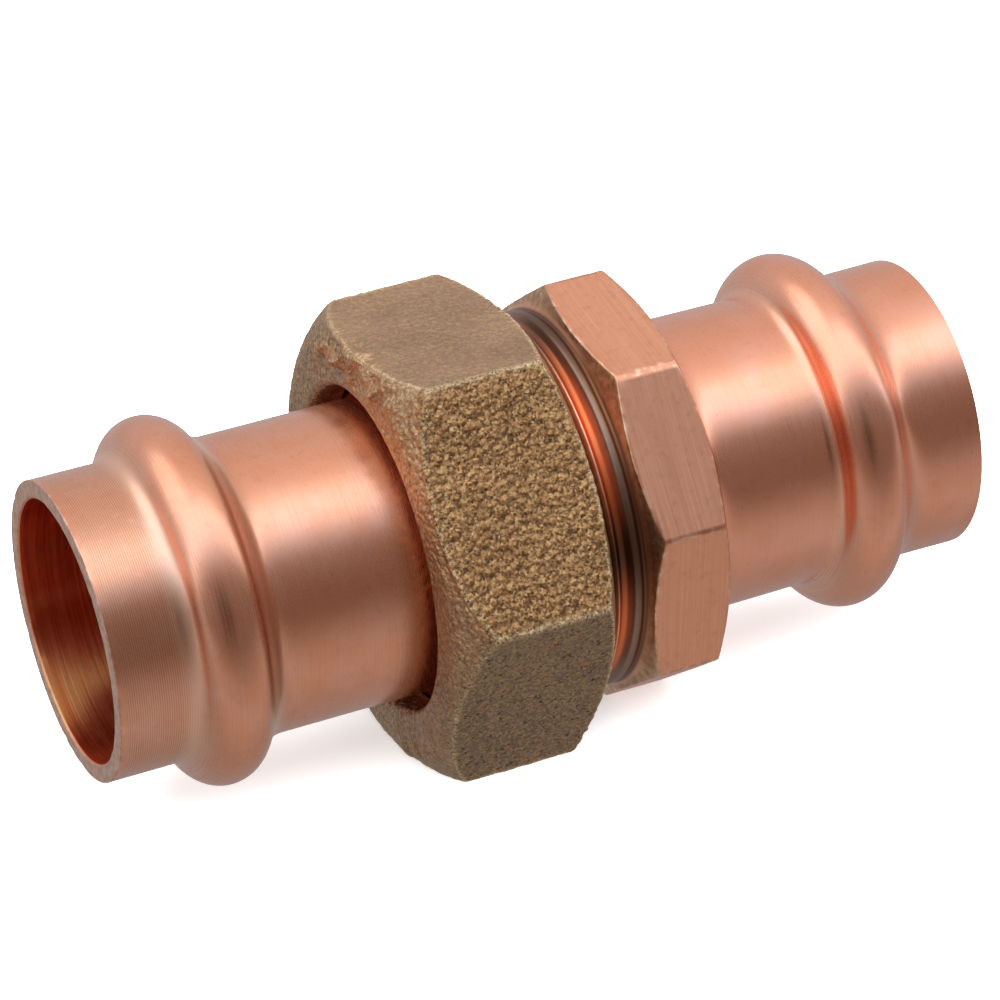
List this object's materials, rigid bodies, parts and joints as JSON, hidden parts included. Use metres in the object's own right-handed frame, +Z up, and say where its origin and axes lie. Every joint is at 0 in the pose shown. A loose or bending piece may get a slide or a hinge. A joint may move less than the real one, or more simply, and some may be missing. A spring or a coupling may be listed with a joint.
{
  "type": "pipe union",
  "caption": "Press by press union for copper tube: bronze hexagon nut draws a tailpiece with a rolled bead onto an eight-sided threaded end, each end with a sealed socket.",
  "frame": {"origin": "centre of the bounding box, on the union's axis midway between the two socket mouths", "axes": "+X along the pipe axis from the tailpiece's mouth to the threaded end's mouth, +Z up, at right angles to the nut's top flat"},
  "size_m": [0.0782, 0.0414, 0.0364],
  "materials": {
    "wrought_copper": "satin",
    "machined_copper": "milled",
    "cast_bronze": "sand cast",
    "seal_rubber": "matte"
  },
  "bodies": {
    "threaded_end": {"threaded_end": "machined_copper", "threaded_end_seal_ring": "seal_rubber"},
    "tailpiece": {"tailpiece": "wrought_copper", "tail_seal_ring": "seal_rubber"},
    "union_nut": {"union_nut": "cast_bronze"}
  },
  "joints": [
    {"name": "tailpiece_draw", "type": "slide", "parent": "threaded_end", "child": "tailpiece", "axis": [-1, 0, 0], "range_m": [0, 0.0085]},
    {"name": "nut_turn", "type": "hinge", "parent": "tailpiece", "child": "union_nut", "pos_m": [-0.005, 0, 0], "axis": [-1, 0, 0], "range_deg": [0, 1530]}
  ],
  "couplings": [
    {"joint": "nut_turn", "follows": "tailpiece_draw", "rad_per_m": 3141.6}
  ]
}
